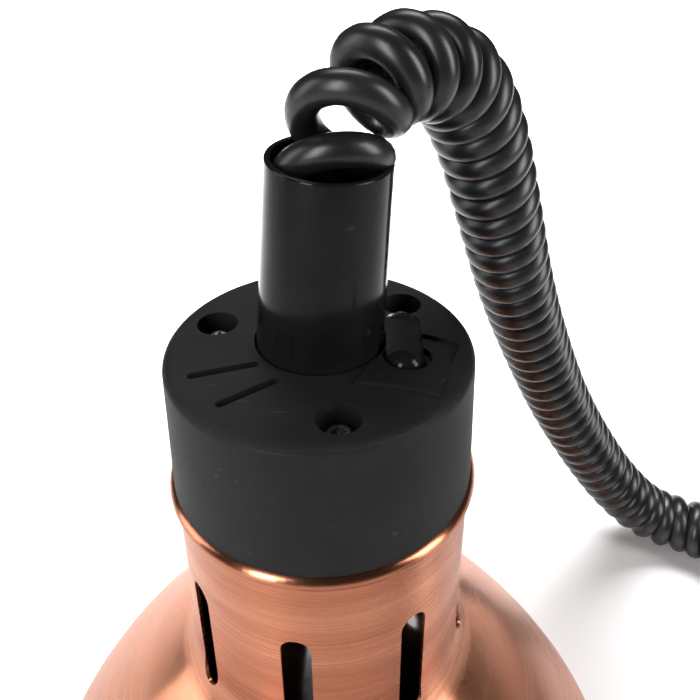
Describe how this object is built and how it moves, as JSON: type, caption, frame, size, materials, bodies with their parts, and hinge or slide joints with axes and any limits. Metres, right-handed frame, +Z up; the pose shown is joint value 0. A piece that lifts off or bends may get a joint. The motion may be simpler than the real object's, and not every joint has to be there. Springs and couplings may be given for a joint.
{
  "type": "pendant food warming lamp with curly cord",
  "caption": "Pendant heat lamp for a buffet counter: copper bell shade, round top housing with toggle switch, leaning cord sleeve, curly cord and ceiling canopy.",
  "frame": {"origin": "centre of the shade's mouth, on the surface it stands on", "axes": "+Z up along the shade's axis; -Y is the side of the switch's front; the cord leaves towards +X +Y"},
  "size_m": [0.3534, 0.3137, 0.3035],
  "materials": {
    "copper": "satin, circumferentially brushed copper",
    "black_moulded": "matt charcoal",
    "black_gloss": "glossy black",
    "black_rubber": "matt black",
    "cord_black": "satin black sheath",
    "bright_metal": "zinc plated sheet",
    "screw_metal": "nickel plated",
    "contact_brass": "plain",
    "white_ceramic": "unglazed",
    "white_moulded": "plain",
    "bulb_glass": "frosted front",
    "stem_glass": "clear",
    "black_glass": "vitrified insulator",
    "bulb_cap_metal": "plain",
    "filament": "coiled wire",
    "lead_brown": "insulated core"
  },
  "bodies": {
    "lamp": {"shade_neck": "copper", "shade_bell": "copper", "heat_shield": "bright_metal", "shade_screws": "screw_metal", "housing_cap": "black_moulded", "housing_base": "black_moulded", "housing_screws": "screw_metal", "cord_sleeve": "black_gloss", "sleeve_plate": "bright_metal", "sleeve_plate_screws": "screw_metal", "strain_relief": "black_rubber", "cord_stop": "black_rubber", "switch_body": "black_moulded", "switch_pin": "screw_metal", "switch_terminals": "contact_brass", "lampholder_body": "white_ceramic", "lampholder_shell": "contact_brass", "lampholder_contact": "contact_brass", "lampholder_bracket": "bright_metal", "lampholder_screws": "screw_metal", "terminal_block": "white_moulded", "terminal_screws": "contact_brass", "mains_leads": "lead_brown", "lampholder_leads": "lead_brown", "switch_leads": "lead_brown", "cord_entry": "cord_black", "curly_cord": "cord_black", "cord_tail": "cord_black", "canopy_cup": "black_moulded", "canopy_gland": "black_gloss", "canopy_gland_nut": "black_gloss", "canopy_locknut": "black_gloss", "canopy_bracket": "bright_metal", "canopy_screws": "screw_metal", "canopy_block": "white_moulded", "canopy_block_screws": "contact_brass", "canopy_leads": "lead_brown"},
    "bulb": {"bulb_glass": "bulb_glass", "bulb_cap": "bulb_cap_metal", "bulb_insulator": "black_glass", "bulb_stem": "stem_glass", "bulb_filament": "filament"},
    "bulb_thread": {"bulb_contact": "bulb_cap_metal"},
    "lever": {"switch_lever": "black_gloss"},
    "rocker": {"switch_contact": "contact_brass"}
  },
  "joints": [
    {"name": "switch_toggle", "type": "hinge", "parent": "lamp", "child": "lever", "pos_m": [0.0244, -0.0073, 0.2102], "axis": [0.9455, -0.3256, 0], "range_deg": [0, 24]},
    {"name": "contact_rock", "type": "hinge", "parent": "lamp", "child": "rocker", "pos_m": [0.0244, -0.0073, 0.1993], "axis": [0.9455, -0.3256, 0], "range_deg": [-9.8, 0.2]},
    {"name": "bulb_turn", "type": "hinge", "parent": "bulb_thread", "child": "bulb", "pos_m": [0, 0, 0.15], "axis": [0, 0, -1], "range_deg": [0, 900]},
    {"name": "bulb_drop", "type": "slide", "parent": "lamp", "child": "bulb_thread", "axis": [0, 0, -1], "range_m": [0, 0.0091]}
  ],
  "couplings": [
    {"joint": "contact_rock", "follows": "switch_toggle", "ratio": -0.4},
    {"joint": "bulb_drop", "follows": "bulb_turn", "m_per_rad": 0.00057757}
  ]
}
